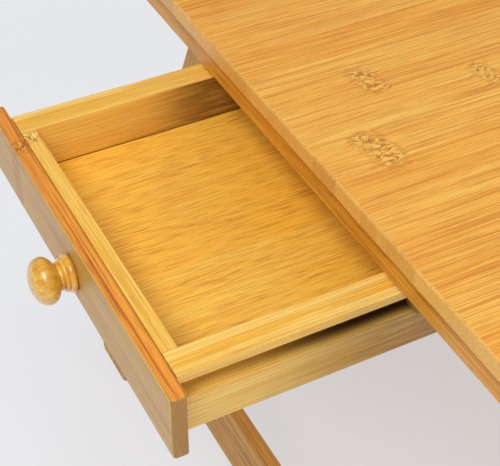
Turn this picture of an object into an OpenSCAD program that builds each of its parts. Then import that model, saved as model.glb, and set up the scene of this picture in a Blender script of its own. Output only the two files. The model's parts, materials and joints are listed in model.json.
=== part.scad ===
// Folding laptop stand with a side drawer, in millimetres.
// Origin: middle of the table's footprint on the floor. +X is to the user's right,
// +Y points away from the user, +Z is up. The drawer pulls out towards -X.

/* [Table] */
// Length of the table along X
table_w = 610; // [600:5:680]
// Depth of the table along Y
table_d = 375; // [360:5:400]
// Height of the work surface above the floor
table_h = 290; // [265:5:295]
// Thickness of the two top boards
board_t = 8.5; // [7:0.5:12]
// Width of the fixed side board over the drawer
side_board_w = 170; // [166:1:200]
// Gap between the fixed board and the tilting board
seam = 1; // [0.5:0.1:2]
// Radius of the table's corners seen from above
corner_r = 8; // [4:1:12]
// Radius of the eased edges on the boards
ease_r = 1.5; // [0.6:0.1:2]

/* [Frame] */
// Thickness of the rails under the boards
rail_t = 11; // [9:0.5:13]
// Width of the rails
rail_w = 28; // [24:1:34]

/* [Drawer] */
// Space between a runner's hanger and the leg cheek beside it, which sets the drawer's width
hanger_room = 21.5; // [10:0.5:30]
// Length of the drawer sides
drawer_len = 172; // [150:1:174]
// Height of the drawer sides
drawer_h = 33; // [31:0.5:33.5]
// Depth of the drawer from its top edge to its floor
drawer_depth = 23.5; // [21:0.5:24.5]
// Thickness of the drawer sides
side_t = 14; // [12:0.5:16]
// Thickness of the board behind the face plate
front_t = 7; // [5:0.5:9]
// Thickness of the drawer's back board
back_t = 8; // [6:0.5:12]
// Thickness of the drawer floor
floor_t = 4; // [3:0.5:4.5]
// How deep the floor is let into the boards round it
floor_let = 3; // [2:0.5:4]
// Height of the lip above the runner groove
lip_h = 4.5; // [3:0.5:6]
// Height of the runner groove
groove_h = 9; // [7:0.5:10]
// Depth of the runner groove
groove_d = 6; // [4:0.5:7]
// Gap between the drawer's top and the rails
drawer_gap = 1; // [0.6:0.1:2]
// How far the drawer is pulled out in the modelled pose
drawer_out = 107; // [20:1:110]

/* [Face plate and knob] */
// Thickness of the face plate
plate_t = 7.5; // [6:0.5:9]
// Height of the face plate
plate_h = 33.5; // [31:0.5:36]
// How far the face plate runs past each drawer side
plate_over = 11; // [6:0.5:13]
// Radius of the plate's rounded edges
plate_r = 1.2; // [0.6:0.1:2.4]
// Radius of the plate's ends seen from above
plate_end_r = 3; // [1.5:0.1:3]
// Height of the knob's axis below the plate's top edge
knob_drop = 20; // [16:0.5:22]
// Diameter of the knob's cap
knob_d = 22; // [18:0.5:26]
// Length of the knob from the plate to its tip
knob_len = 19.7; // [17:0.1:25]
// Diameter of the largest ring at the knob's base
knob_base_d = 18.2; // [15:0.1:20]

/* [Runners] */
// Gap between a drawer side and the hanger beside it
hanger_gap = 1; // [0.6:0.1:2]
// Thickness of the hangers that carry the runners
hanger_t = 10; // [8:0.5:11]
// How deep a runner is let into its hanger
runner_let = 3; // [2:0.5:4]
// Gap above and below a runner in its groove
runner_gap = 0.3; // [0.2:0.05:0.5]

/* [Leg frames] */
// Angle of the open legs from upright
leg_splay = 18.2; // [14:0.2:20]
// Thickness of a leg board
leg_t = 12; // [10:0.5:14]
// Width of a leg board along Y
leg_w = 43.5; // [36:0.5:46]
// Distance from the table's long edge to the outside of a leg
leg_margin = 3; // [2:0.5:5]
// Distance from the table's short edge to the leg pivot
pivot_inset = 46.5; // [44:0.5:49]
// Height of the leg pivot below the rails
pivot_drop = 36; // [34:0.5:40]
// Length of the leg above its pivot
leg_head = 26; // [23:0.5:27]
// Radius of the rounded corners of the feet
foot_r = 8; // [3:0.5:12]
// Width of the stretcher between two legs
stretcher_w = 26.5; // [20:0.5:30]
// Thickness of the stretcher
stretcher_t = 10; // [8:0.5:10]
// Distance from the foot to the stretcher's lower edge, along the leg
stretcher_up = 47; // [30:0.5:60]
// Diameter of the pivot bolts
bolt_d = 6; // [5:0.5:6]
// Thickness of the cheek that carries a leg
cheek_t = 14; // [12:0.5:15]

/* [Tilting board] */
// Largest tilt of the board, in degrees
tilt_max = 30; // [26:1:34]
// Space between the racks and the leg cheeks behind them, which sets the prop's length
rack_room = 23.7; // [10:0.1:40]
// Depth of the prop's pivot below the boards
prop_drop = 4; // [3.5:0.1:5]
// Diameter of the prop's wire
wire_d = 5; // [4:0.5:5.5]
// Length of each hinge along X
hinge_len = 40; // [30:1:60]
// Diameter of the hinge barrels
barrel_d = 4.4; // [4:0.1:5]
// Length of the ledge that holds the laptop
ledge_len = 200; // [120:5:260]
// Number of air slots in the tilting board
vent_count = 7; // [3:1:8]
// Length of one air slot
vent_len = 90; // [40:5:140]

/* [Hidden] */
$fn = 64;
eps = 0.01;            // overshoot of a cut past the face it opens

// Levels
board_z = table_h - board_t;
rail_z = board_z - rail_t;
drawer_top = rail_z - drawer_gap;
drawer_base = drawer_top - drawer_h;
floor_z = drawer_top - drawer_depth - floor_t;
pivot_z = rail_z - pivot_drop;

// Outline of the table and of its frame
half_w = table_w / 2;
half_d = table_d / 2;
left_in = -half_w + rail_w;
right_in = half_w - rail_w;
seam_x = -half_w + side_board_w;
middle_x0 = seam_x + seam / 2 - rail_w / 2;
middle_x1 = middle_x0 + rail_w;
rail_in_y = half_d - rail_w;

// Distances from the table's middle line to a leg and to its cheek
leg_y1 = half_d - leg_margin;
leg_y0 = leg_y1 - leg_w;
washer_t = 1;
cheek_y1 = leg_y0 - washer_t;
cheek_y0 = cheek_y1 - cheek_t;

// Hinge of the tilting board: its axis lies in the plane between rails and boards
barrel_r = barrel_d / 2;
barrel_gap = 0.3;      // clearance round a barrel, and between its axis and the wood
barrel_inset = 0.1;    // from the table's edge to the barrels
hinge_y = -half_d + barrel_r + barrel_inset;
hinge_face = hinge_y + barrel_gap;
front_set_back = hinge_face + half_d;
leaf_t = 0.9;
leaf_pocket = 1;
leaf_w = 15;
hinge_pin_r = 1;
pin_fit = 0.06;        // radial clearance of a running fit
hinge_inset = 30;      // from the clear opening's ends to the hinges
hinge_xs = [middle_x1 + hinge_inset, right_in - hinge_inset - hinge_len];
knuckle_gap = 0.3;
rail_spans = [[0, 0.33], [0.67, 1]];   // knuckles of a leaf, as shares of the hinge's length
board_spans = [[0.34, 0.66]];
screw_places = [0.2, 0.8];             // screws of a leaf, as shares of the hinge's length
hinge_screw_r = 1.2;
hinge_screw_head_r = 2.2;
hinge_screw_len = 6;

// Prop: the pivot and the bar are equally far from the hinge, so it turns twice as fast
wire_r = wire_d / 2;
rack_back = cheek_y0 - rack_room;
rack_spare = 10;       // rack past its last notch
prop_len = (rack_back - rack_spare / 2 - wire_r - hinge_y) / 2;
prop_y = hinge_y + prop_len;
prop_z = board_z - prop_drop;
prop_slope = atan(prop_drop / prop_len);
prop_reach = norm([prop_len, prop_drop]);
bend_r = 7;            // of the wire's middle line
arm_gap = 1;           // from a rail to the start of the wire's bend
arm_x0 = middle_x1 + bend_r + arm_gap;
prop_mid = (middle_x1 + right_in) / 2;
stub_depth = 12;
stub_room = 0.5;       // free space past the end of a stub in its hole
tooth_gap = 0.4;       // between the bar and the crests of the rack
batten_w = 10;
batten_h = 6;
batten_gap = 2;        // from the corner block at the front to the start of a batten
batten_inset = 30;
notch_first = 12;      // tilt at the first notch, in degrees
notch_count = 4;
notch_step = (tilt_max - notch_first) / (notch_count - 1);
notch_angles = [for (i = [0 : notch_count - 1]) notch_first + i * notch_step];
notch_depth = 2;
vent_w = 7;
vent_pitch = 18;
ledge_w = 8;
ledge_h = 7;
ledge_back = 4;        // from the board's front edge to the ledge
board_x0 = seam_x + seam;
vent_x = (board_x0 + half_w) / 2;

// Drawer
plate_x = -half_w - drawer_out;
side_x = plate_x + plate_t;
front_x1 = side_x + front_t;
tail_x = side_x + drawer_len;
back_x0 = tail_x - back_t;
side_y = cheek_y0 - hanger_room - hanger_t - hanger_gap;
in_y = side_y - side_t;
groove_z1 = drawer_top - lip_h;
groove_z0 = groove_z1 - groove_h;
knob_z = drawer_top - knob_drop;
screw_r = 1.9;
screw_fit = 0.05;
screw_head_r = 3.6;
screw_head_t = 2.2;
screw_grip = 9;        // how far the screw's hole runs into the knob
screw_room = 0.5;      // free space past the screw's end
knob_cap = 6.8;        // height of the cap's dome
knob_rings = [[knob_base_d / 2, 0, 3], [knob_base_d / 2 - 1.5, 2.7, 2.5],
    [knob_base_d / 2 - 3.1, 4.9, 2.1]]; // radius, start and height of each ring

// Runners
hanger_foot = 3;       // of the hanger below the runner groove
runner_side_gap = 0.5; // between a runner and the bottom of its groove
runner_x0 = -half_w + plate_t + runner_gap;
hanger_back = 4;       // from the start of a runner to that of its hanger
hanger_x0 = runner_x0 + hanger_back;
hanger_y0 = side_y + hanger_gap;
hanger_z0 = groove_z0 - hanger_foot;
runner_y0 = side_y - groove_d + runner_side_gap;
runner_y1 = hanger_y0 + runner_let;
runner_z0 = groove_z0 + runner_gap;
runner_z1 = groove_z1 - runner_gap;

// Legs, measured for one leg
pivot_x = half_w - pivot_inset;
leg_foot = (pivot_z + leg_t / 2 * sin(leg_splay)) / cos(leg_splay);
stretcher_z = stretcher_up - leg_foot;
tenon_len = 14;
tenon_edge = 3;        // from the stretcher's edges to its tenons
tenon_w = stretcher_w - 2 * tenon_edge;
tenon_t = stretcher_t - tenon_edge;
tenon_fit = 0.1;
leg_ease = 1.8;
bolt_r = bolt_d / 2;
bolt_head_r = 5.4;
bolt_head_inset = 0.4; // from the table's edge to the bolt heads
bolt_head_t = leg_margin - bolt_head_inset;
nut_d = 10.4;          // across the corners
nut_t = 5;
bolt_spare = 1;        // thread that shows past the nut
washer_r = 6;
stop_r = 2.5;
stop_gap = 0.3;
stop_up = 20;          // from the pivot to the stop pin, along the leg
stop_reach = 10;       // how far the pin stands over the leg
stop_x = leg_t / 2 + stop_gap + stop_r;
cheek_r = 13;
cheek_len = 60;        // of the corner block past the end rail
cheek_tail = 10;       // height of the cheek at its inner end

bamboo_top = [0.93, 0.72, 0.42];
bamboo_rail = [0.80, 0.56, 0.29];
bamboo_drawer = [0.95, 0.76, 0.42];
bamboo_floor = [0.93, 0.66, 0.24];
bamboo_leg = [0.74, 0.53, 0.30];
knob_colour = [0.90, 0.66, 0.28];
steel = [0.72, 0.72, 0.74];

// Rectangle between two corners, with its own corners rounded
module round_rect(x0, y0, x1, y1, r) {
    translate([x0 + r, y0]) square([x1 - x0 - 2 * r, y1 - y0]);
    translate([x0, y0 + r]) square([x1 - x0, y1 - y0 - 2 * r]);
    for (x = [x0 + r, x1 - r], y = [y0 + r, y1 - r]) translate([x, y]) circle(r);
}

// Plain block between its lowest and highest corners
module block(a, b) {
    translate(a) cube(b - a);
}

// Blocks between the corners a and b whose edges along one axis are rounded
module bar_x(a, b, r) {
    translate([a.x, 0, 0]) rotate([90, 0, 90]) linear_extrude(b.x - a.x) round_rect(a.y, a.z, b.y, b.z, r);
}

module bar_y(a, b, r) {
    translate([0, b.y, 0]) rotate([90, 0, 0]) linear_extrude(b.y - a.y) round_rect(a.x, a.z, b.x, b.z, r);
}

module bar_z(a, b, r) {
    translate([0, 0, a.z]) linear_extrude(b.z - a.z) round_rect(a.x, a.y, b.x, b.y, r);
}

// Rod between two points on a line along X or Y
module rod_x(x0, x1, y, z, r) {
    translate([x0, y, z]) rotate([0, 90, 0]) cylinder(h = x1 - x0, r = r);
}

module rod_y(y0, y1, x, z, r) {
    translate([x, y1, z]) rotate([90, 0, 0]) cylinder(h = y1 - y0, r = r);
}

// The front copy of a shape modelled at the rear
module front_side() {
    mirror([0, 1, 0]) children();
}

// The right-hand copy of a shape modelled at the left end
module right_side() {
    mirror([1, 0, 0]) children();
}

// Outline of the table's plan, shifted in at the front by set_back
module plan(set_back = 0) {
    round_rect(-half_w, -half_d + set_back, half_w, half_d, corner_r);
}

// Part of the plan between x0 and x1, as a slab whose edges are eased above or else below
module plan_slab(x0, x1, z0, z1, eased_above, set_back = 0) {
    low = eased_above ? z0 - 2 * ease_r : z0;
    high = eased_above ? z1 : z1 + 2 * ease_r;
    intersection() {
        translate([0, 0, z0]) linear_extrude(z1 - z0) plan(set_back);
        bar_x([x0, -half_d + set_back, low], [x1, half_d, high], ease_r);
        bar_y([-half_w, -half_d, low], [half_w, half_d, high], ease_r);
    }
}

/* ---- frame ---- */

module end_rail_left() {
    color(bamboo_rail) plan_slab(-half_w, left_in, rail_z, board_z, false);
}

module end_rail_right() {
    color(bamboo_rail) difference() {
        plan_slab(right_in, half_w, rail_z, board_z, false, front_set_back);
        rod_x(right_in - eps, right_in + stub_depth + stub_room, prop_y, prop_z, wire_r + pin_fit);
    }
}

// Cut round a hinge barrel and its leaf, above or below the plane between rails and boards
module hinge_cut(z0, z1) {
    for (x = hinge_xs) {
        rod_x(x - knuckle_gap, x + hinge_len + knuckle_gap, hinge_y, board_z, barrel_r + barrel_gap);
        block([x, hinge_y, z0], [x + hinge_len, hinge_y + leaf_w + barrel_r, z1]);
    }
}

// Places of the screws in one hinge leaf
module at_hinge_screws() {
    for (x = hinge_xs, share = screw_places)
        translate([x + share * hinge_len, hinge_y + barrel_r + leaf_w / 2, board_z]) children();
}

module front_rail() {
    color(bamboo_rail) difference() {
        union() {
            block([left_in, -half_d, rail_z], [board_x0, -rail_in_y, board_z]);
            block([board_x0, hinge_face, rail_z], [right_in, -rail_in_y, board_z]);
        }
        hinge_cut(board_z - leaf_pocket, board_z + eps);
        at_hinge_screws() translate([0, 0, -hinge_screw_len - leaf_pocket])
            cylinder(h = hinge_screw_len + leaf_pocket, r = hinge_screw_r + screw_fit);
    }
}

module rear_rail() {
    color(bamboo_rail) block([left_in, rail_in_y, rail_z], [right_in, half_d, board_z]);
}

module middle_rail() {
    color(bamboo_rail) difference() {
        block([middle_x0, -rail_in_y, rail_z], [middle_x1, rail_in_y, board_z]);
        rod_x(middle_x1 - stub_depth - stub_room, middle_x1 + eps, prop_y, prop_z, wire_r + pin_fit);
    }
}

module fixed_board() {
    color(bamboo_top) plan_slab(-half_w, seam_x, board_z, table_h, true);
}

/* ---- drawer runners ---- */

module hanger() {
    difference() {
        union() {
            block([hanger_x0, hanger_y0, hanger_z0], [middle_x1, hanger_y0 + hanger_t, rail_z]);
            block([left_in, hanger_y0, rail_z - eps], [middle_x0, hanger_y0 + hanger_t, board_z]);
        }
        block([hanger_x0 - eps, hanger_y0 - eps, runner_z0], [middle_x1 + eps, runner_y1, runner_z1]);
    }
}

module runner() {
    block([runner_x0, runner_y0, runner_z0], [middle_x1, runner_y1, runner_z1]);
}

module hanger_front() {
    color(bamboo_rail) front_side() hanger();
}

module hanger_rear() {
    color(bamboo_rail) hanger();
}

module runner_front() {
    color(bamboo_leg) front_side() runner();
}

module runner_rear() {
    color(bamboo_leg) runner();
}

/* ---- leg cheeks and pivots, modelled at the rear left ---- */

// Outline of a cheek in the XZ plane, round the pivot and up to the rails
module cheek_outline() {
    translate([-pivot_x, pivot_z]) circle(cheek_r);
    polygon([[-pivot_x - cheek_r, pivot_z], [-pivot_x - cheek_r, rail_z],
        [left_in + cheek_len, rail_z], [left_in + cheek_len, rail_z - cheek_tail],
        [-pivot_x + cheek_r, pivot_z]]);
}

module at_stop() {
    translate([-pivot_x, 0, pivot_z]) rotate([0, leg_splay, 0]) translate([stop_x, 0, stop_up]) children();
}

module leg_cheek() {
    difference() {
        union() {
            translate([0, cheek_y1, 0]) rotate([90, 0, 0]) linear_extrude(cheek_t) cheek_outline();
            block([left_in, cheek_y0, rail_z - eps], [left_in + cheek_len, rail_in_y, board_z]);
        }
        rod_y(cheek_y0 - eps, cheek_y1 + eps, -pivot_x, pivot_z, bolt_r + pin_fit);
        at_stop() rod_y(cheek_y0 - eps, cheek_y1 + eps, 0, 0, stop_r + screw_fit);
    }
}

module leg_cheek_left_front() {
    color(bamboo_rail) front_side() leg_cheek();
}

module leg_cheek_left_rear() {
    color(bamboo_rail) leg_cheek();
}

module leg_cheek_right_front() {
    color(bamboo_rail) right_side() front_side() leg_cheek();
}

module leg_cheek_right_rear() {
    color(bamboo_rail) right_side() leg_cheek();
}

// A copy of a shape at each of the four leg pivots
module at_corners() {
    for (x = [0, 1], y = [0, 1]) mirror([x, 0, 0]) mirror([0, y, 0]) children();
}

module pivot_bolts() {
    color(steel) at_corners() {
        rod_y(cheek_y0 - nut_t - bolt_spare, leg_y1 + eps, -pivot_x, pivot_z, bolt_r);
        rod_y(leg_y1, leg_y1 + bolt_head_t, -pivot_x, pivot_z, bolt_head_r);
    }
}

module pivot_nuts() {
    color(steel) at_corners() difference() {
        translate([-pivot_x, cheek_y0, pivot_z]) rotate([90, 0, 0]) cylinder(h = nut_t, d = nut_d, $fn = 6);
        rod_y(cheek_y0 - nut_t - eps, cheek_y0 + eps, -pivot_x, pivot_z, bolt_r + screw_fit);
    }
}

module pivot_washers() {
    color(steel) at_corners() difference() {
        rod_y(cheek_y1, leg_y0, -pivot_x, pivot_z, washer_r);
        rod_y(cheek_y1 - eps, leg_y0 + eps, -pivot_x, pivot_z, bolt_r + pin_fit);
    }
}

module stop_pins() {
    color(steel) at_corners() at_stop() rod_y(cheek_y0, leg_y0 + stop_reach, 0, 0, stop_r);
}

/* ---- leg frames, modelled at the left; z = 0 of the leg is its pivot ---- */

module leg_place() {
    translate([-pivot_x, 0, pivot_z]) rotate([0, leg_splay, 0]) children();
}

module leg() {
    difference() {
        leg_place() difference() {
            intersection() {
                bar_x([-leg_t / 2, leg_y0, -leg_foot], [leg_t / 2, leg_y1, leg_head], foot_r);
                bar_z([-leg_t / 2, leg_y0, -leg_foot], [leg_t / 2, leg_y1, leg_head], leg_ease);
            }
            rod_y(leg_y0 - eps, leg_y1 + eps, 0, 0, bolt_r + pin_fit);
            translate([0, 0, stretcher_z + tenon_edge])
                block([-tenon_t / 2 - tenon_fit, leg_y0 - eps, -tenon_fit],
                    [tenon_t / 2 + tenon_fit, leg_y0 + tenon_len + tenon_fit, tenon_w + tenon_fit]);
        }
        block([-table_w, 0, -leg_foot], [table_w, table_d, 0]);
    }
}

module stretcher() {
    leg_place() translate([0, 0, stretcher_z]) {
        bar_y([-stretcher_t / 2, -leg_y0, 0], [stretcher_t / 2, leg_y0, stretcher_w], ease_r);
        for (side = [0, 1]) mirror([0, side, 0])
            block([-tenon_t / 2, leg_y0 - eps, tenon_edge],
                [tenon_t / 2, leg_y0 + tenon_len, tenon_edge + tenon_w]);
    }
}

module leg_left_front() {
    color(bamboo_leg) front_side() leg();
}

module leg_left_rear() {
    color(bamboo_leg) leg();
}

module stretcher_left() {
    color(bamboo_leg) stretcher();
}

module leg_right_front() {
    color(bamboo_leg) right_side() front_side() leg();
}

module leg_right_rear() {
    color(bamboo_leg) right_side() leg();
}

module stretcher_right() {
    color(bamboo_leg) right_side() stretcher();
}

/* ---- hinges ---- */

// One hinge leaf with its knuckles; up is 1 for the leaf in the board and -1 for that in the rail
module hinge_leaf(x, up, spans) {
    low = up > 0 ? board_z + leaf_pocket - leaf_t : board_z - leaf_pocket;
    difference() {
        union() {
            block([x + knuckle_gap, hinge_y + barrel_r, low],
                [x + hinge_len - knuckle_gap, hinge_y + barrel_r + leaf_w, low + leaf_t]);
            for (s = spans) {
                rod_x(x + s[0] * hinge_len, x + s[1] * hinge_len, hinge_y, board_z, barrel_r);
                block([x + max(s[0] * hinge_len, knuckle_gap), hinge_y, low],
                    [x + min(s[1] * hinge_len, hinge_len - knuckle_gap), hinge_y + barrel_r + eps,
                        low + leaf_t]);
            }
        }
        rod_x(x - eps, x + hinge_len + eps, hinge_y, board_z, hinge_pin_r + pin_fit);
        for (share = screw_places)
            translate([x + share * hinge_len, hinge_y + barrel_r + leaf_w / 2, board_z])
                facing(up) screw_shape(screw_fit, eps);
    }
}

// Screw pointing up from z = 0, with a countersunk head
module screw_shape(fit, out) {
    translate([0, 0, leaf_pocket - leaf_t - out])
        cylinder(h = leaf_t + out, r1 = hinge_screw_head_r + fit, r2 = hinge_screw_r + fit);
    cylinder(h = hinge_screw_len, r = hinge_screw_r + fit);
}

// A shape that points up, or its mirror image below z = 0 when up is -1
module facing(up) {
    mirror([0, 0, up > 0 ? 0 : 1]) children();
}

module hinge_rail_leaves() {
    color(steel) for (x = hinge_xs) hinge_leaf(x, -1, rail_spans);
}

module hinge_board_leaves() {
    color(steel) for (x = hinge_xs) hinge_leaf(x, 1, board_spans);
}

module hinge_pins() {
    color(steel) for (x = hinge_xs) rod_x(x, x + hinge_len, hinge_y, board_z, hinge_pin_r);
}

module hinge_screws(up) {
    at_hinge_screws() facing(up) intersection() {
        screw_shape(0, 0);
        translate([0, 0, leaf_pocket - leaf_t]) cylinder(h = hinge_screw_len, r = hinge_screw_head_r);
    }
}

module hinge_rail_screws() {
    color(steel) hinge_screws(-1);
}

module hinge_board_screws() {
    color(steel) hinge_screws(1);
}

/* ---- tilting board ---- */

module tilt_board() {
    color(bamboo_top) difference() {
        plan_slab(board_x0, half_w, board_z, table_h, true, front_set_back);
        hinge_cut(board_z - eps, board_z + leaf_pocket);
        at_hinge_screws() cylinder(h = hinge_screw_len + screw_fit, r = hinge_screw_r + screw_fit);
        for (i = [0 : vent_count - 1])
            translate([vent_x, (i - (vent_count - 1) / 2) * vent_pitch, board_z - eps])
                linear_extrude(board_t + 2 * eps)
                    round_rect(-vent_len / 2, -vent_w / 2, vent_len / 2, vent_w / 2, vent_w / 2 - eps);
    }
}

module laptop_ledge() {
    y0 = hinge_face + ledge_back;
    color(bamboo_rail) bar_x([vent_x - ledge_len / 2, y0, table_h],
        [vent_x + ledge_len / 2, y0 + ledge_w, table_h + ledge_h], ease_r);
}

// Depth of the rack's crests below the board, at the distance u from the hinge
function crest(u) = u * tan(prop_slope) - (wire_r + tooth_gap) / cos(prop_slope);

// Batten under the tilting board, with notches for the prop's bar; x is its left edge
module rack_batten(x) {
    u1 = rack_back - hinge_y;
    u0 = 2 * prop_len * cos(tilt_max) - rack_spare;
    start = batten_gap - cheek_y0 - hinge_y;
    translate([x, hinge_y, board_z]) rotate([90, 0, 90]) linear_extrude(batten_w) difference() {
        polygon([[start, 0], [u1, 0], [u1, -crest(u1)], [u0, -crest(u0)],
            [u0 - batten_h, -batten_h], [start, -batten_h]]);
        for (a = notch_angles) {
            s = 2 * prop_reach * cos(a);
            translate([s * cos(prop_slope), notch_depth - s * sin(prop_slope)]) circle(wire_r + tooth_gap);
        }
    }
}

module rack_batten_left() {
    color(bamboo_leg) rack_batten(middle_x1 + batten_inset);
}

module rack_batten_right() {
    color(bamboo_leg) rack_batten(right_in - batten_inset - batten_w);
}

// A quarter bend of the wire about [x, y], starting at the angle a
module wire_bend(x, y, a) {
    translate([x, y, 0]) rotate([0, 0, a]) rotate_extrude(angle = 90) translate([bend_r, 0]) circle(wire_r);
}

// Left half of the prop, lying flat: the stub in the rail, an arm and half of the bar
module prop_half() {
    rod_x(middle_x1 - stub_depth, arm_x0 - bend_r, 0, 0, wire_r);
    wire_bend(arm_x0 - bend_r, bend_r, -90);
    rod_y(bend_r, prop_reach - bend_r, arm_x0, 0, wire_r);
    wire_bend(arm_x0 + bend_r, prop_reach - bend_r, 90);
    rod_x(arm_x0 + bend_r, prop_mid, prop_reach, 0, wire_r);
}

// Wire prop: stubs that turn in the rails, two arms and the bar that meets the racks
module prop_wire() {
    color(steel) translate([0, prop_y, prop_z]) rotate([-prop_slope, 0, 0]) {
        prop_half();
        translate([2 * prop_mid, 0, 0]) mirror([1, 0, 0]) prop_half();
    }
}

/* ---- drawer ---- */

module drawer_side() {
    difference() {
        block([side_x, in_y, drawer_base], [tail_x, side_y, drawer_top]);
        block([side_x - eps, side_y - groove_d, groove_z0], [tail_x + eps, side_y + eps, groove_z1]);
        block([front_x1 - floor_let, in_y - eps, floor_z],
            [back_x0 + floor_let, in_y + floor_let, floor_z + floor_t]);
    }
}

module drawer_side_front() {
    color(bamboo_drawer) front_side() drawer_side();
}

module drawer_side_rear() {
    color(bamboo_drawer) drawer_side();
}

module drawer_front_board() {
    color(bamboo_drawer) difference() {
        block([side_x, -in_y, drawer_base], [front_x1, in_y, drawer_top]);
        block([front_x1 - floor_let, -in_y - eps, floor_z], [front_x1 + eps, in_y + eps, floor_z + floor_t]);
    }
}

module drawer_back_board() {
    color(bamboo_drawer) difference() {
        block([back_x0, -in_y, drawer_base], [tail_x, in_y, drawer_top]);
        block([back_x0 - eps, -in_y - eps, floor_z], [back_x0 + floor_let, in_y + eps, floor_z + floor_t]);
    }
}

module drawer_floor() {
    color(bamboo_floor) block([front_x1 - floor_let, -in_y - floor_let, floor_z],
        [back_x0 + floor_let, in_y + floor_let, floor_z + floor_t]);
}

module face_plate() {
    a = [plate_x, -side_y - plate_over, drawer_top - plate_h];
    b = [side_x, side_y + plate_over, drawer_top];
    color(bamboo_drawer) difference() {
        intersection() {
            bar_x(a, b, plate_r);
            bar_y(a, b, plate_r);
            bar_z(a, b, plate_end_r);
        }
        rod_x(plate_x - eps, side_x, 0, knob_z, screw_r + screw_fit);
        rod_x(side_x - screw_head_t, side_x + eps, 0, knob_z, screw_head_r + screw_fit);
    }
}

// Half outline of the knob: radius to the right, distance from the plate upwards
module knob_outline() {
    cap_z = knob_len - knob_cap;
    intersection() {
        union() {
            for (r = knob_rings) {
                square([r[0] - r[2] / 2, r[1] + r[2]]);
                translate([r[0] - r[2] / 2, r[1] + r[2] / 2]) circle(d = r[2]);
            }
            square([knob_base_d / 4, cap_z]);
            polygon([for (a = [-90 : 6 : 90]) [knob_d / 2 * cos(a), cap_z + knob_cap * sin(a)]]);
        }
        square([knob_d, knob_len]);
    }
}

module knob() {
    color(knob_colour) difference() {
        translate([plate_x, 0, knob_z]) rotate([0, -90, 0]) rotate_extrude() knob_outline();
        rod_x(plate_x - screw_grip, plate_x + eps, 0, knob_z, screw_r + screw_fit);
    }
}

// The screw's head is let into the back of the face plate
module knob_screw() {
    color(steel) {
        rod_x(plate_x - screw_grip + screw_room, side_x - screw_head_t + eps, 0, knob_z, screw_r);
        rod_x(side_x - screw_head_t, side_x, 0, knob_z, screw_head_r);
    }
}

end_rail_left();
end_rail_right();
front_rail();
rear_rail();
middle_rail();
fixed_board();
hanger_front();
hanger_rear();
runner_front();
runner_rear();
leg_cheek_left_front();
leg_cheek_left_rear();
leg_cheek_right_front();
leg_cheek_right_rear();
pivot_bolts();
pivot_nuts();
pivot_washers();
stop_pins();
hinge_rail_leaves();
hinge_pins();
hinge_rail_screws();
tilt_board();
laptop_ledge();
rack_batten_left();
rack_batten_right();
hinge_board_leaves();
hinge_board_screws();
prop_wire();
drawer_side_front();
drawer_side_rear();
drawer_front_board();
drawer_back_board();
drawer_floor();
face_plate();
knob();
knob_screw();
leg_left_front();
leg_left_rear();
stretcher_left();
leg_right_front();
leg_right_rear();
stretcher_right();
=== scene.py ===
"""Looks of a bamboo laptop stand with a drawer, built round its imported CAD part."""

import json
import math
import random
from dataclasses import dataclass, replace

import bmesh
import bpy
from mathutils import Matrix, Vector

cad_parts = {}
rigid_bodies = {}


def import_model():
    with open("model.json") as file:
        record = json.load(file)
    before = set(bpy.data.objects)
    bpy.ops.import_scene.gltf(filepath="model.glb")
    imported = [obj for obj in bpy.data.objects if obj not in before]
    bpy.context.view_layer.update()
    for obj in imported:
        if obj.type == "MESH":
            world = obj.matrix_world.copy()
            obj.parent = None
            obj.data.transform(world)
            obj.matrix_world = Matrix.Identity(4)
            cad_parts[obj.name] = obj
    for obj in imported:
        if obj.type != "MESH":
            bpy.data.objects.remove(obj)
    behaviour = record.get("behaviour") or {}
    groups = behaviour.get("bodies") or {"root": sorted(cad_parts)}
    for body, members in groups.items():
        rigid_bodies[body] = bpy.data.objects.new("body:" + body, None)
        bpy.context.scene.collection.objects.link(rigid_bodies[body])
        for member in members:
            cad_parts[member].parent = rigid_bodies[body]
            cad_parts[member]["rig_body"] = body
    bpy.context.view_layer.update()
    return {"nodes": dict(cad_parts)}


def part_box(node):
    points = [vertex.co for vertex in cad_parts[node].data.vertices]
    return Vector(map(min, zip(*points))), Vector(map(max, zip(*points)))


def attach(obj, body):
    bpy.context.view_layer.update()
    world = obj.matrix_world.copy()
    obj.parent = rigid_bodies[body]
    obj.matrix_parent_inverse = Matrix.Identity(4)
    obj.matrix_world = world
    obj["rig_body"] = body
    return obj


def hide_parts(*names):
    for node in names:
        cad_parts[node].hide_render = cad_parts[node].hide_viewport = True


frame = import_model()

MM = 0.001

# The photograph's camera, in the frame of the part
CAMERA_PLACE = Vector((-530.58, -393.89, 627.01)) * MM
CAMERA_AZIMUTH = -27.597
CAMERA_ELEVATION = 41.266
CAMERA_ROLL = 0.267
CAMERA_LENS = 91.351
SENSOR_WIDTH = 36.0

LEG_SPLAY = math.radians(18.2)


def srgb(red, green, blue, alpha=1.0):
    """Linear colour of an sRGB colour given as 0 to 255."""
    parts = [c / 255 for c in (red, green, blue)]
    line = [p / 12.92 if p <= 0.04045 else ((p + 0.055) / 1.055) ** 2.4 for p in parts]
    return (*line, alpha)


def between(first, second, share):
    """The colour that lies the given share of the way from first to second."""
    return tuple(a + (b - a) * share for a, b in zip(first, second))


# ---- node trees ----


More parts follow.
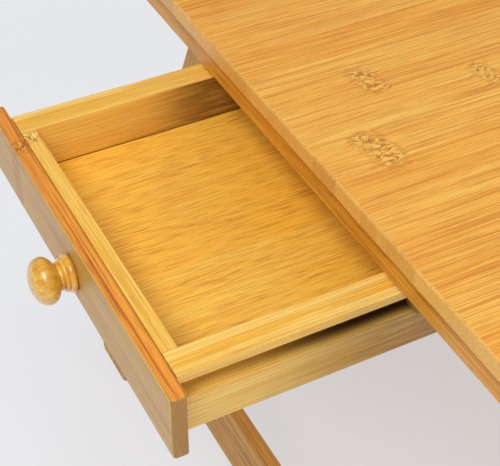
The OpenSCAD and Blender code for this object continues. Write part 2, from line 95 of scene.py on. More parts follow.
class Tree:
    """A material's node tree. Inputs take a number, a colour, a vector or another node's socket."""

    def __init__(self, name):
        self.material = bpy.data.materials.new(name)
        self.material.use_nodes = True
        self.nodes = self.material.node_tree.nodes
        self.links = self.material.node_tree.links
        self.nodes.clear()

    def put(self, socket, value):
        if isinstance(value, bpy.types.NodeSocket):
            self.links.new(value, socket)
        else:
            socket.default_value = value

    def add(self, kind, inputs=None, **settings):
        node = self.nodes.new(kind)
        for key, value in settings.items():
            setattr(node, key, value)
        for key, value in (inputs or {}).items():
            self.put(node.inputs[key], value)
        return node

    def math(self, operation, *values):
        node = self.add("ShaderNodeMath", operation=operation)
        for socket, value in zip(node.inputs, values):
            self.put(socket, value)
        return node.outputs[0]

    def plus(self, first, second):
        return self.math("ADD", first, second)

    def minus(self, first, second):
        return self.math("SUBTRACT", first, second)

    def times(self, first, second):
        return self.math("MULTIPLY", first, second)

    def over(self, first, second):
        return self.math("DIVIDE", first, second)

    def power(self, base, exponent):
        return self.math("POWER", base, exponent)

    def size(self, value):
        return self.math("ABSOLUTE", value)

    def split(self, vector):
        return self.add("ShaderNodeSeparateXYZ", {"Vector": vector}).outputs

    def join(self, x, y, z):
        return self.add("ShaderNodeCombineXYZ", {"X": x, "Y": y, "Z": z}).outputs[0]

    def mix(self, factor, first, second):
        """first, with the given share of second mixed in."""
        node = self.add("ShaderNodeMix", data_type="RGBA")
        # The factor, the two colours and the mixed colour among the sockets of all data types
        for index, value in ((0, factor), (6, first), (7, second)):
            self.put(node.inputs[index], value)
        return node.outputs[2]

    def ramp(self, value, low, high, to_low=0.0, to_high=1.0):
        """value, eased from to_low at low to to_high at high."""
        node = self.add(
            "ShaderNodeMapRange",
            {"Value": value, "From Min": low, "From Max": high, "To Min": to_low, "To Max": to_high},
            interpolation_type="SMOOTHSTEP",
        )
        return node.outputs[0]

    def noise(self, vector, detail=2.0, roughness=0.5, distortion=0.0):
        inputs = {"Vector": vector, "Scale": 1.0, "Detail": detail}
        inputs.update({"Roughness": roughness, "Distortion": distortion})
        return self.add("ShaderNodeTexNoise", inputs).outputs[0]

    def stretched_noise(self, place, cells, **settings):
        """Noise with the given number of cells in a metre along each part of the place."""
        return self.noise(self.join(*[self.times(p, c) for p, c in zip(place, cells)]), **settings)

    def bump(self, height, strength, distance):
        return self.add(
            "ShaderNodeBump", {"Strength": strength, "Distance": distance, "Height": height}
        ).outputs[0]

    def chance(self, vector):
        """A random number for each whole-number place."""
        return self.add("ShaderNodeTexWhiteNoise", {"Vector": vector}, noise_dimensions="3D").outputs[0]

    def steps(self, value, colours):
        """Equal steps of constant colour as value goes from 0 to 1."""
        node = self.add("ShaderNodeValToRGB", {"Fac": value})
        stops = node.color_ramp.elements
        node.color_ramp.interpolation = "CONSTANT"
        stops[0].color = colours[0]
        stops.remove(stops[1])
        for i, colour in enumerate(colours[1:], 1):
            stops.new(i / len(colours)).color = colour
        return node.outputs[0]

    def surface(self, inputs):
        shader = self.add("ShaderNodeBsdfPrincipled", inputs)
        out = self.add("ShaderNodeOutputMaterial")
        self.links.new(shader.outputs[0], out.inputs["Surface"])
        return self.material


# ---- bamboo ----


@dataclass
class Look:
    """Colours and habits of one kind of bamboo board, with lengths in metres."""

    pale: tuple
    deep: tuple
    streak: tuple
    fibre: tuple
    end: tuple
    strip: float = 0.0205        # width of a strip across the grain
    streaks: float = 0.55        # how strongly the long streaks show
    fibres: float = 0.35         # how strongly the short dark fibres show
    seams: float = 0.3           # how dark the glue lines between strips are
    joints: float = 0.45         # share of the strips that show a joint of the cane
    glue: float = 0.0            # how dark the wavy glue line along the upper edge is
    fibre_run: float = 70.0      # how many fibres fit one after another in a metre
    fibre_pitch: float = 2300.0  # and how many side by side
    flank_sheen: tuple = None          # colour of the faces that look across the strips, where it differs: a painted sheen, paler for their grazing reflection of the bright surroundings
    roughness: float = 0.42
    coat: float = 0.25


TOP = Look(
    pale=srgb(248, 196, 92), deep=srgb(242, 166, 60), streak=srgb(212, 134, 44), fibre=srgb(170, 94, 24),
    end=srgb(246, 190, 96), streaks=0.75, fibres=0.3, seams=0.14, coat=0.12,
)
RAIL = Look(
    pale=srgb(240, 176, 58), deep=srgb(226, 152, 40), streak=srgb(188, 116, 26), fibre=srgb(132, 72, 14),
    end=srgb(190, 134, 66), strip=0.0055, seams=0.12, joints=0.2, glue=0.75, coat=0.1,
)
SIDE = Look(
    pale=srgb(255, 219, 122), deep=srgb(242, 179, 56), streak=srgb(218, 156, 50), fibre=srgb(160, 96, 24),
    end=srgb(206, 160, 90), strip=0.007, streaks=0.38, fibres=0.2, seams=0.2, joints=0.0,
)
PLATE = Look(
    pale=srgb(246, 168, 56), deep=srgb(230, 142, 38), streak=srgb(180, 86, 20), fibre=srgb(130, 60, 12),
    end=srgb(166, 122, 48), flank_sheen=srgb(222, 193, 98), strip=0.006, streaks=0.7, fibres=0.4, joints=0.0,
)
FLOOR = Look(
    pale=srgb(255, 202, 80), deep=srgb(254, 188, 60), streak=srgb(238, 160, 40), fibre=srgb(180, 104, 20),
    end=srgb(204, 140, 54), strip=0.033, streaks=0.4, fibres=0.6, fibre_run=75.0, seams=0.0, joints=0.0,
)
LEG = Look(
    pale=srgb(222, 170, 78), deep=srgb(206, 147, 56), streak=srgb(152, 94, 30), fibre=srgb(112, 66, 18),
    end=srgb(170, 124, 62), strip=0.019, joints=0.4,
)

SHADE_ON_FLANK = srgb(92, 44, 2)
SHADE_IN_GROOVE = srgb(58, 26, 6)
SHADE_AT_FOOT = srgb(84, 42, 8)

# Where each axis of a board comes from: along its grain, across its strips and through them
GRAIN_X_STRIPS_Y = "XYZ"
GRAIN_X_STRIPS_Z = "XZY"
GRAIN_Y_STRIPS_X = "YXZ"
GRAIN_Y_STRIPS_Z = "YZX"
GRAIN_Z_STRIPS_Y = "ZYX"

MOST_STRIPS = 31   # a colour ramp has room for 32 stops
SEAM_HALF_WIDTH = 0.18 * MM

JOINT_SPACING = 260 * MM
JOINT_HALF_LENGTH = 5.5 * MM
JOINT_HALF_WIDTH = 10.5 * MM
JOINT_SLANT = 0.35
JOINT_BEND = 6 * MM
FAR_FROM_JOINTS = 20.0

# The shade in a drawer side's groove, in the rest pose. From the drawer's middle outwards it starts in the
# wood behind the groove, is full to just in front of the groove's back and ends just inside its mouth. Its
# bottom and top are a hair past the groove's. Along the drawer it begins near the plate and grows backwards
GROOVE_WOOD = 85.0 * MM
GROOVE_BACK = 88.0 * MM
GROOVE_MOUTH = 93.3 * MM
GROOVE_BOTTOM = 255.7 * MM
GROOVE_TOP = 265.3 * MM
GROOVE_SHADE_BEGINS = -385 * MM
GROOVE_SHADE_FULL = -318 * MM


def board_coordinates(tree, axes, lean):
    """Place and normal of a surface point as (along, across, through), in the rest frame of the part."""
    source = tree.add("ShaderNodeTexCoord").outputs
    found = []
    for name, kind in (("Object", "POINT"), ("Normal", "VECTOR")):
        inputs = {"Vector": source[name], "Rotation": (0.0, lean, 0.0)}
        turned = tree.add("ShaderNodeMapping", inputs, vector_type=kind)
        parts = tree.split(turned.outputs[0])
        found.append([parts["XYZ".index(axis)] for axis in axes])
    return found


def marked_joint(tree, along, across, mark):
    """1 in the middle of the joint at the mark (along, across, size), 0 at its rim and less beyond."""
    mark_along, mark_across, size = mark
    away_along = tree.over(tree.minus(along, mark_along), JOINT_HALF_LENGTH * size)
    away_across = tree.over(tree.minus(across, mark_across), JOINT_HALF_WIDTH * size)
    slanted = tree.plus(away_along, tree.times(away_across, JOINT_SLANT))
    squared = tree.plus(tree.power(tree.size(slanted), 2.0), tree.power(tree.size(away_across), 4.0))
    return tree.minus(1.0, squared)


def chance_joint(tree, along, strip, luck, share):
    """As marked_joint, for joints at even steps on the given share of the strips."""
    turn = tree.math("FRACT", tree.plus(tree.over(along, JOINT_SPACING), luck))
    distance = tree.times(tree.size(tree.minus(turn, 0.5)), JOINT_SPACING)
    hidden = tree.math("GREATER_THAN", tree.chance(tree.join(strip, 7.0, 3.0)), share)
    closeness = tree.minus(1.0, tree.over(distance, JOINT_HALF_LENGTH))
    return tree.minus(closeness, tree.times(hidden, FAR_FROM_JOINTS))


class Bamboo:
    """Lacquered bamboo of one board that reaches from low to high across its strips.

    Its colour is drawn layer by layer, each over the one before.
    """

    def __init__(self, name, look, axes, low, high, lean, seed):
        self.tree = Tree(name)
        self.look = look
        self.low = low
        self.high = high
        self.seed = seed
        place, normal = board_coordinates(self.tree, axes, lean)
        self.along, self.across, self.through = place
        self.on_end = self.tree.ramp(self.tree.size(normal[0]), 0.3, 0.6)
        self.on_flank = self.tree.ramp(self.tree.size(normal[1]), 0.5, 0.85)

    def tint(self, share, colour):
        """Mix the given share of a colour over what is drawn."""
        self.colour = self.tree.mix(share, self.colour, colour)

    def lay_strips(self, tones):
        """Strips in tones from 0, pale, to 1, deep; by chance where none are given."""
        tree = self.tree
        rng = random.Random(self.seed)
        count = max(1, min(MOST_STRIPS, round((self.high - self.low) / self.look.strip)))
        tones = tones or [rng.random() for _ in range(count)]
        self.count = len(tones)
        share = tree.over(tree.minus(self.across, self.low), self.high - self.low)
        self.place = tree.times(share, self.count)
        self.strip = tree.math("FLOOR", self.place)
        self.luck = tree.chance(tree.join(self.strip, float(self.seed), 1.0))
        self.colour = tree.steps(share, [between(self.look.pale, self.look.deep, t) for t in tones])

    def bend_round_joints(self, marks):
        """Place the joints of the cane, at the marks and by chance, and bend the grain round them."""
        tree = self.tree
        fields = [marked_joint(tree, self.along, self.across, mark) for mark in marks]
        if self.look.joints:
            fields.append(chance_joint(tree, self.along, self.strip, self.luck, self.look.joints))
        self.joint = fields[0] if fields else -FAR_FROM_JOINTS
        for other in fields[1:]:
            self.joint = tree.math("MAXIMUM", self.joint, other)
        sway = tree.noise(
            tree.join(tree.times(self.along, 170), tree.times(self.across, 130), float(self.seed)),
            detail=1.0,
        )
        bend = tree.times(tree.minus(sway, 0.5), tree.ramp(self.joint, -3.0, 0.5, 0.0, JOINT_BEND))
        self.bent = tree.plus(self.across, bend)

    def grain(self, cells_along, cells_across, detail, shift=19.0):
        """Noise drawn out along the grain, which starts elsewhere in each strip."""
        tree = self.tree
        vector = tree.join(
            tree.plus(tree.times(self.along, cells_along), tree.times(self.luck, shift)),
            tree.times(self.bent, cells_across),
            tree.plus(tree.times(self.through, cells_across), float(self.seed)),
        )
        return tree.noise(vector, detail, roughness=0.55)

    def draw_grain(self):
        """Clouds, streaks and fine lines, and the short dark fibres."""
        tree, look = self.tree, self.look
        self.cloud = self.grain(9.0, 90.0, detail=2.0)
        self.streak = self.grain(8.0, 640.0, detail=3.0)
        self.line = self.grain(16.0, 1500.0, detail=1.0, shift=43.0)
        fibre = self.grain(look.fibre_run, look.fibre_pitch, detail=1.0, shift=71.0)
        self.dark_fibre = tree.times(tree.ramp(fibre, 0.5, 0.66), tree.ramp(self.cloud, 0.3, 0.6, 0.6, 1.0))
        self.tint(tree.ramp(self.cloud, 0.38, 0.62, 0.0, 0.6), look.deep)
        self.tint(tree.ramp(self.streak, 0.48, 0.68, 0.0, look.streaks), look.streak)
        self.tint(tree.ramp(self.line, 0.5, 0.66, 0.0, look.streaks), look.streak)
        self.tint(tree.ramp(self.line, 0.5, 0.34, 0.0, 0.6), look.pale)
        self.tint(tree.times(self.dark_fibre, look.fibres), look.fibre)

    def draw_flank_sheen(self):
        """A painted sheen on the flanks: a paler colour for their grazing reflection of the bright
        surroundings, in patches.
        """
        patchy = self.tree.ramp(self.tree.plus(self.cloud, self.line), 0.8, 1.2, 0.8, 0.45)
        self.tint(self.tree.times(self.on_flank, patchy), self.look.flank_sheen)

    def draw_joints(self):
        """Wrinkles within a dark and ragged rim."""
        tree, look = self.tree, self.look
        ragged = tree.noise(
            tree.join(tree.times(self.along, 260), tree.times(self.across, 420), 0.0),
            detail=3.0,
        )
        rough_joint = tree.plus(self.joint, tree.times(tree.minus(ragged, 0.5), 3.6))
        wrinkle = tree.noise(
            tree.join(tree.times(self.along, 300), tree.times(self.bent, 620), float(self.seed)),
            distortion=1.0,
        )
        in_joint = tree.ramp(rough_joint, 0.0, 0.9)
        on_rim = tree.ramp(tree.size(rough_joint), 0.5, 0.0, 0.0, 0.3)
        crease = between(look.streak, look.fibre, 0.8)
        self.tint(tree.times(in_joint, 0.8), tree.mix(tree.ramp(wrinkle, 0.42, 0.56), crease, look.pale))
        self.tint(on_rim, crease)
        self.wrinkles = tree.times(in_joint, wrinkle)

    def draw_seams(self):
        """The glue lines between the strips."""
        tree = self.tree
        from_middle = tree.size(tree.minus(tree.math("FRACT", self.place), 0.5))
        line_share = SEAM_HALF_WIDTH * self.count / (self.high - self.low)
        self.seam = tree.ramp(from_middle, 0.5 - line_share, 0.5, 0.0, self.look.seams)
        self.tint(self.seam, self.look.fibre)

    def draw_glue_line(self):
        """The wavy line of glue a little below the upper edge."""
        tree = self.tree
        wave = tree.noise(
            tree.join(tree.times(self.along, 60), 0.0, float(self.seed)),
            detail=4.0, roughness=0.65,
        )
        depth = tree.times(tree.minus(wave, 0.25), 4.5 * MM)
        from_line = tree.size(tree.minus(tree.minus(self.high, self.across), depth))
        self.tint(tree.ramp(from_line, 0.6 * MM, 0.1 * MM, 0.0, self.look.glue), self.look.fibre)

    def draw_stain(self, begins, full, strength, top):
        """Painted shade of the table: a dark cloudy patch on the flanks, which begins and is full at these
        places, up to a height.
        """
        tree = self.tree
        cloudy = tree.noise(
            tree.join(tree.times(self.along, 45), 0.0, tree.times(self.through, 620)),
            detail=3.0, roughness=0.6,
        )
        patch = tree.times(tree.ramp(self.along, begins, full, 0.0, strength),
                           tree.ramp(cloudy, 0.3, 0.65, 0.5, 0.8))
        patch = tree.times(patch, tree.math("LESS_THAN", self.through, top))
        self.tint(tree.times(patch, self.on_flank), SHADE_ON_FLANK)

    def draw_groove(self):
        """The shade in a drawer side's groove, which deepens inwards and towards the table."""
        tree = self.tree
        from_middle = tree.size(self.across)
        inside = tree.times(tree.math("LESS_THAN", from_middle, GROOVE_MOUTH),
                            tree.math("GREATER_THAN", from_middle, GROOVE_WOOD))
        inside = tree.times(inside, tree.math("GREATER_THAN", self.through, GROOVE_BOTTOM))
        inside = tree.times(inside, tree.math("LESS_THAN", self.through, GROOVE_TOP))
        inwards = tree.ramp(from_middle, GROOVE_MOUTH, GROOVE_BACK, 0.55, 1.0)
        to_table = tree.ramp(self.along, GROOVE_SHADE_BEGINS, GROOVE_SHADE_FULL, 0.3, 1.0)
        shade = tree.times(inside, tree.times(inwards, to_table))
        self.tint(tree.times(shade, 0.96), SHADE_IN_GROOVE)

    def draw_foot_of_walls(self, walls):
        """Painted shade in the corner: the dark line where walls stand on the board, that far to both sides
        of its middle.
        """
        tree = self.tree
        from_wall = tree.minus(walls, tree.size(self.across))
        self.tint(tree.ramp(from_wall, 0.9 * MM, 0.3 * MM, 0.0, 0.85), SHADE_AT_FOOT)

    def draw_end_grain(self):
        """Specks of the cane's bundles and upright smears, toned strip by strip."""
        tree, look = self.tree, self.look
        speck = tree.noise(
            tree.join(tree.times(self.across, 900), tree.times(self.through, 900), float(self.seed)),
            roughness=0.6,
        )
        smear = tree.noise(tree.join(tree.times(self.across, 420), tree.times(self.through, 80), self.luck))
        colour = tree.mix(self.luck, look.end, between(look.end, look.fibre, 0.3))
        colour = tree.mix(tree.ramp(speck, 0.45, 0.68, 0.0, 0.3), colour, look.fibre)
        colour = tree.mix(tree.ramp(smear, 0.5, 0.7, 0.0, 0.5), colour, between(look.end, look.pale, 0.6))
        self.tint(self.on_end, colour)

    def material(self):
        tree, look = self.tree, self.look
        height = tree.plus(tree.times(self.line, 0.5), tree.times(self.dark_fibre, -0.5))
        height = tree.plus(height, tree.times(self.wrinkles, 1.6))
        height = tree.minus(height, self.seam)
        return tree.surface({
            "Base Color": self.colour,
            "Roughness": tree.ramp(self.streak, 0.4, 0.7, look.roughness, look.roughness + 0.12),
            "Normal": tree.bump(height, 0.4, 0.25 * MM),
            "Coat Weight": look.coat,
            "Coat Roughness": 0.22,
            "IOR": 1.5,
        })


def bamboo(name, look, axes, low, high, seed, lean=0.0, tones=None, marks=(),
           walls=0.0, groove=False, stain=None):
    """The bamboo of one board, with what it has apart from its look."""
    board = Bamboo(name, look, axes, low, high, lean, seed)
    board.lay_strips(tones)
    board.bend_round_joints(marks)
    board.draw_grain()
    # Painted sheen on the faces that look across the strips
    if look.flank_sheen:
        board.draw_flank_sheen()
    board.draw_joints()
    board.draw_seams()
    if look.glue:
        board.draw_glue_line()
    # Painted shade that the table casts on the drawer's sides
    if stain:
        board.draw_stain(*stain)
    if groove:
        board.draw_groove()
    # Painted shade where the drawer's walls stand on its floor
    if walls:
        board.draw_foot_of_walls(walls)
    board.draw_end_grain()
    return board.material()


# ---- other materials ----


def knob_wood():
    """Turned and glossy wood, with its grain along the knob's axis."""
    tree = Tree("knob_wood")
    place = tree.split(tree.add("ShaderNodeTexCoord").outputs["Object"])
    grain = tree.stretched_noise(place, (45, 330, 330), detail=3.0, roughness=0.55, distortion=0.4)
    pore = tree.stretched_noise(place, (300, 1700, 1700), detail=1.0)
    colour = tree.mix(tree.ramp(grain, 0.3, 0.7), srgb(244, 192, 76), srgb(216, 154, 44))
    colour = tree.mix(tree.ramp(pore, 0.6, 0.75, 0.0, 0.35), colour, srgb(160, 96, 30))
    return tree.surface({
        "Base Color": colour,
        "Roughness": tree.ramp(grain, 0.3, 0.7, 0.24, 0.34),
        "Normal": tree.bump(grain, 0.15, 0.1 * MM),
        "Coat Weight": 1.0,
        "Coat Roughness": 0.22,
        "IOR": 1.45,
    })


def brushed_steel():
    """Nickel-plated steel with fine scratches along X."""
    tree = Tree("plated_steel")
    place = tree.split(tree.add("ShaderNodeTexCoord").outputs["Object"])
    scratch = tree.stretched_noise(place, (300, 6000, 6000), roughness=0.6)
    smudge = tree.stretched_noise(place, (160, 160, 160), detail=3.0, roughness=0.6)
    colour = tree.mix(tree.ramp(scratch, 0.35, 0.65), srgb(214, 215, 216), srgb(176, 177, 180))
    rough = tree.plus(tree.ramp(smudge, 0.35, 0.7, 0.2, 0.38), tree.times(scratch, 0.08))
    bump = tree.bump(scratch, 0.12, 0.1 * MM)
    return tree.surface({"Base Color": colour, "Metallic": 1.0, "Roughness": rough, "Normal": bump})


# ---- finished pieces ----

SHARP = math.radians(35)
NEARLY_FLAT = math.radians(0.5)
SAME_POINT = 0.002 * MM

# Joints of the cane on the fixed board: along X, across Y, size. The first three show in the photograph
TOP_JOINTS = [
    (-0.2543, 0.0178, 1.1),
    (-0.2771, -0.0299, 1.35),
    (-0.2008, -0.0031, 0.9),
    (-0.1700, 0.1140, 1.0),
    (-0.2350, 0.1540, 0.9),
    (-0.2000, -0.1120, 1.0),
    (-0.2650, -0.1540, 0.9),
    (-0.1600, -0.0500, 1.0),
]
FRONT_BOARD_JOINT = (0.0740, -0.4001, 0.8)
PLATE_JOINT = (0.0690, -0.4085, 0.8)

# The fixed board's strips are 20.5 mm wide and laid as in the photograph, so that they pass its edges
TOP_STRIPS = (-0.2042, 0.2058)

DRAWER_HALF_WIDTH = 79.5 * MM   # from its middle to a side's inner face

# Shade on the drawer's sides, which the table casts: begins, full, strength, height
NEAR_SIDE_TABLE_SHADE = (-0.368, -0.304, 0.72, GROOVE_TOP)
FAR_SIDE_TABLE_SHADE = (-0.344, -0.308, 1.05, 1.0)

KNOB_RINGS = [(9.1 * MM, 0.0, 3.4 * MM), (7.9 * MM, 2.8 * MM, 2.6 * MM), (6.6 * MM, 5.0 * MM, 2.2 * MM)]
KNOB_NECK = 4.6 * MM
KNOB_CAP_HALF = 6.8 * MM
KNOB_SAME_POINT = 0.01 * MM

STEEL_NODES = [
    "pivot_bolts", "pivot_nuts", "pivot_washers", "stop_pins", "hinge_rail_leaves", "hinge_board_leaves",
    "hinge_pins", "hinge_rail_screws", "hinge_board_screws", "prop_wire", "knob_screw",
]


def finish_edges(mesh):
    """Smooth faces that keep their sharp edges."""
    for face in mesh.faces:
        face.smooth = True
    for edge in mesh.edges:
        edge.smooth = len(edge.link_faces) != 2 or edge.calc_face_angle(0.0) < SHARP


def piece_of(name, mesh, body, material):
    """A new piece from a bmesh, on a CAD body."""
    data = bpy.data.meshes.new(name)
    mesh.to_mesh(data)
    mesh.free()
    data.materials.append(material)
    piece = bpy.data.objects.new(name, data)
    bpy.context.scene.collection.objects.link(piece)
    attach(piece, body)
    return piece


def show_instead(piece, node):
    """Show the piece in the place of a CAD node, by hiding the node."""
    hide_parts(node)


def eased(node, width, material):
    """A copy of a CAD node with its outer edges rounded by width mm, which is shown in the node's place."""
    source = frame["nodes"][node]
    mesh = bmesh.new()
    mesh.from_mesh(source.data)
    bmesh.ops.remove_doubles(mesh, verts=mesh.verts, dist=SAME_POINT)
    bmesh.ops.dissolve_limit(mesh, angle_limit=NEARLY_FLAT, verts=mesh.verts, edges=mesh.edges)
    if width:
        convex = [e for e in mesh.edges if len(e.link_faces) == 2 and e.calc_face_angle_signed(0.0) > SHARP]
        bmesh.ops.bevel(
            mesh, geom=convex, offset=width * MM, offset_type="OFFSET", segments=2, profile=0.6,
            affect="EDGES", clamp_overlap=False,
        )
    finish_edges(mesh)
    piece = piece_of(f"{node}_eased", mesh, source["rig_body"], material)
    weighted = piece.modifiers.new("even_normals", "WEIGHTED_NORMAL")
    weighted.keep_sharp = True
    show_instead(piece, node)


def board(node, look, axes, width=0.35, strips=None, **options):
    """A bamboo board: an eased copy of its CAD node in its own piece of bamboo.

    The strips share out the board's width, or else the width from one given place to another.
    """
    low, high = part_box(node)
    axis = "XYZ".index(axes[1])
    strips_low, strips_high = strips or (low[axis], high[axis])
    seed = sum(ord(c) for c in node)
    material = bamboo(f"bamboo_{node}", look, axes, strips_low, strips_high, seed, **options)
    eased(node, width, material)


def make_top():
    board("fixed_board", replace(TOP, joints=0.0), GRAIN_X_STRIPS_Y, 0.0, strips=TOP_STRIPS, marks=TOP_JOINTS)
    board("tilt_board", TOP, GRAIN_X_STRIPS_Y, 0.3)
    board("laptop_ledge", replace(RAIL, strip=0.008), GRAIN_X_STRIPS_Y, 0.0)
    for end in ("left", "right"):
        board(f"rack_batten_{end}", replace(LEG, strip=0.005), GRAIN_Y_STRIPS_X, 0.3)


def make_rails():
    board("end_rail_left", RAIL, GRAIN_Y_STRIPS_Z, 0.0)
    board("end_rail_right", RAIL, GRAIN_Y_STRIPS_Z, 0.0)
    board("middle_rail", RAIL, GRAIN_Y_STRIPS_Z, 0.4)
    for side in ("front", "rear"):
        board(f"{side}_rail", RAIL, GRAIN_X_STRIPS_Z)
        board(f"hanger_{side}", RAIL, GRAIN_X_STRIPS_Z)
        board(f"runner_{side}", LEG, GRAIN_X_STRIPS_Z)


def make_legs():
    for end, lean in (("left", -LEG_SPLAY), ("right", LEG_SPLAY)):
        board(f"stretcher_{end}", replace(LEG, strip=0.007), GRAIN_Y_STRIPS_Z, 0.0)
        for side in ("front", "rear"):
            board(f"leg_cheek_{end}_{side}", replace(RAIL, strip=0.02), GRAIN_X_STRIPS_Z, 0.5)
            board(f"leg_{end}_{side}", LEG, GRAIN_Z_STRIPS_Y, 0.0, lean=lean)


def make_drawer():
    board("drawer_side_front", SIDE, GRAIN_X_STRIPS_Y, 0.45, tones=[0.0, 1.0, 0.3], groove=True,
          stain=NEAR_SIDE_TABLE_SHADE)
    board("drawer_side_rear", SIDE, GRAIN_X_STRIPS_Y, 0.45, tones=[0.6, 1.0, 0.0], groove=True,
          stain=FAR_SIDE_TABLE_SHADE)
    board("drawer_front_board", SIDE, GRAIN_Y_STRIPS_X, 0.35, tones=[0.75], marks=[FRONT_BOARD_JOINT])
    board("drawer_back_board", SIDE, GRAIN_Y_STRIPS_X, 0.4, tones=[0.4])
    board("drawer_floor", FLOOR, GRAIN_X_STRIPS_Y, 0.0, walls=DRAWER_HALF_WIDTH)
    board("face_plate", PLATE, GRAIN_Y_STRIPS_X, 0.0, tones=[0.5], marks=[PLATE_JOINT])


def make_metal():
    steel = brushed_steel()
    for node in STEEL_NODES:
        eased(node, 0.0, steel)


def arc_outline(centre, size, first, last, steps):
    """Points (radius, height) on an arc of an ellipse, from one angle to another."""
    points = []
    for i in range(steps + 1):
        angle = first + (last - first) * i / steps
        points.append((centre[0] + size[0] * math.cos(angle), centre[1] + size[1] * math.sin(angle)))
    return points


def knob_outline(cap_radius, length):
    """The knob from its foot to its top: three rings, a neck and a domed cap."""
    outline = [(0.0, 0.0)]
    for radius, start, width in KNOB_RINGS:
        half = width / 2
        outline += arc_outline((radius - half, start + half), (half, half), -math.pi / 2, math.pi / 2, 8)
    neck_angle = -math.acos(KNOB_NECK / cap_radius)
    cap = (cap_radius, KNOB_CAP_HALF)
    outline += arc_outline((0.0, length - KNOB_CAP_HALF), cap, neck_angle, math.pi / 2, 32)
    return outline


def make_knob():
    """The knob, turned as its CAD outline but with soft hollows between its rings."""
    low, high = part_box("knob")
    base = Vector((high.x, (low.y + high.y) / 2, (low.z + high.z) / 2))
    outline = knob_outline((high.z - low.z) / 2, high.x - low.x)
    mesh = bmesh.new()
    path = [mesh.verts.new((base.x - height, base.y, base.z + radius)) for radius, height in outline]
    edges = [mesh.edges.new(pair) for pair in zip(path, path[1:])]
    bmesh.ops.spin(mesh, geom=path + edges, cent=base, axis=(1, 0, 0), angle=2 * math.pi, steps=96)
    bmesh.ops.remove_doubles(mesh, verts=mesh.verts, dist=KNOB_SAME_POINT)
    bmesh.ops.recalc_face_normals(mesh, faces=mesh.faces)
    finish_edges(mesh)
    show_instead(piece_of("knob_turned", mesh, "drawer", knob_wood()), "knob")


# ---- floor, light and camera ----


FLOOR_HALF = 40.0          # far enough that no view shows the floor's edge
FLOOR_GLOW = 0.72          # share of the floor's picture that doesn't depend on the light
# Colour of the floor's painted shadow under the table
FLOOR_PAINTED_SHADOW = srgb(220, 217, 216)
FLOOR_AWAY = srgb(241, 243, 247)
UNDER_HALF_SIZE = (0.12, 0.05)   # of the place under the table where the painted shadow is full
UNDER_FADE = 0.4           # how far around that place it fades out

SKY_AT_HORIZON = 0.2
SKY_AT_ZENITH = 0.45
# Name, place, diameter and power, in metres and watts
LAMPS = [
    ("front", (0.93, -1.33, 1.1), 0.8, 14.0),
    ("key", (-1.2, -0.7, 1.8), 1.2, 26.0),
]
LIT_PLACE = Vector((-0.2, 0.0, 0.15))


def floor_tone(tree):
    """The floor's colour, with a painted shadow of the table: a little darker under it."""
    place = tree.split(tree.add("ShaderNodeTexCoord").outputs["Object"])
    squares = []
    for part, half in zip(place, UNDER_HALF_SIZE):
        away = tree.math("MAXIMUM", tree.minus(tree.size(part), half), 0.0)
        squares.append(tree.power(away, 2.0))
    distance = tree.math("SQRT", tree.plus(*squares))
    return tree.mix(tree.ramp(distance, 0.0, UNDER_FADE), FLOOR_PAINTED_SHADOW, FLOOR_AWAY)


def floor_material():
    """Pale paper that mostly glows in its own tone, with a painted shadow under the table, where a viewer
    sees it, and takes shadows.
    """
    tree = Tree("floor")
    seen = tree.add("ShaderNodeLightPath").outputs
    any_seen = tree.math("MAXIMUM", seen["Is Camera Ray"], seen["Is Glossy Ray"])
    any_seen = tree.math("MAXIMUM", any_seen, seen["Is Transmission Ray"])
    lit = tree.add("ShaderNodeBsdfDiffuse", {"Color": (0.8, 0.8, 0.82, 1.0)})
    glow = tree.add("ShaderNodeEmission", {"Color": floor_tone(tree), "Strength": 1.0})
    blend = tree.add("ShaderNodeMixShader", {0: tree.times(any_seen, FLOOR_GLOW)})
    tree.links.new(lit.outputs[0], blend.inputs[1])
    tree.links.new(glow.outputs[0], blend.inputs[2])
    out = tree.add("ShaderNodeOutputMaterial")
    tree.links.new(blend.outputs[0], out.inputs["Surface"])
    return tree.material


def make_floor():
    half = FLOOR_HALF
    data = bpy.data.meshes.new("floor")
    corners = [(-half, -half, 0), (half, -half, 0), (half, half, 0), (-half, half, 0)]
    data.from_pydata(corners, [], [(0, 1, 2, 3)])
    data.materials.append(floor_material())
    floor = bpy.data.objects.new("floor", data)
    bpy.context.scene.collection.objects.link(floor)


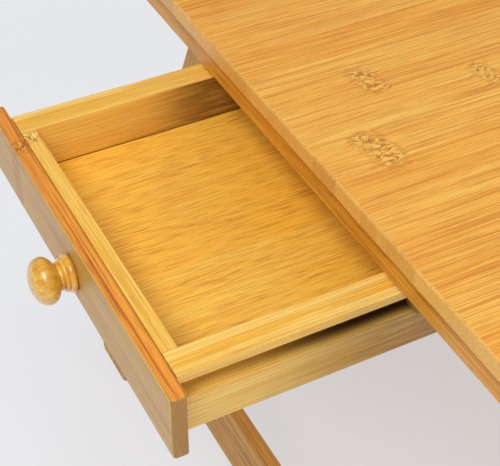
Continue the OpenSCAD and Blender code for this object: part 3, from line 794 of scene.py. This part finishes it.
def make_sky():
    """A white world, brighter overhead."""
    world = bpy.data.worlds.new("studio")
    bpy.context.scene.world = world
    world.use_nodes = True
    nodes, links = world.node_tree.nodes, world.node_tree.links
    sky = nodes["Background"]
    sky.inputs["Color"].default_value = (1.0, 1.0, 1.0, 1.0)
    direction = nodes.new("ShaderNodeTexCoord")
    parts = nodes.new("ShaderNodeSeparateXYZ")
    rise = nodes.new("ShaderNodeMapRange")
    rise.inputs["To Min"].default_value = SKY_AT_HORIZON
    rise.inputs["To Max"].default_value = SKY_AT_ZENITH
    links.new(direction.outputs["Generated"], parts.inputs[0])
    links.new(parts.outputs["Z"], rise.inputs["Value"])
    links.new(rise.outputs[0], sky.inputs["Strength"])


def make_lamps():
    for name, place, diameter, power in LAMPS:
        data = bpy.data.lights.new(name, "AREA")
        data.shape = "DISK"
        data.size = diameter
        data.energy = power
        lamp = bpy.data.objects.new(name, data)
        lamp.location = place
        lamp.rotation_euler = (Vector(place) - LIT_PLACE).to_track_quat("Z", "Y").to_euler()
        bpy.context.scene.collection.objects.link(lamp)


def make_camera():
    azimuth = math.radians(CAMERA_AZIMUTH)
    elevation = math.radians(CAMERA_ELEVATION)
    roll = math.radians(CAMERA_ROLL)
    flat = math.cos(elevation)
    back = Vector((math.sin(azimuth) * flat, -math.cos(azimuth) * flat, math.sin(elevation)))
    level = Vector((math.cos(azimuth), math.sin(azimuth), 0.0))
    upright = back.cross(level)
    right = level * math.cos(roll) + upright * math.sin(roll)
    data = bpy.data.cameras.new("camera")
    data.sensor_fit = "HORIZONTAL"
    data.sensor_width = SENSOR_WIDTH
    data.lens = CAMERA_LENS
    camera = bpy.data.objects.new("camera", data)
    turn = Matrix((right, back.cross(right), back)).transposed().to_4x4()
    camera.matrix_world = Matrix.Translation(CAMERA_PLACE) @ turn
    bpy.context.scene.collection.objects.link(camera)
    bpy.context.scene.camera = camera


make_top()
make_rails()
make_legs()
make_drawer()
make_metal()
make_knob()
make_floor()
make_sky()
make_lamps()
make_camera()
bpy.context.scene.view_settings.view_transform = "Standard"
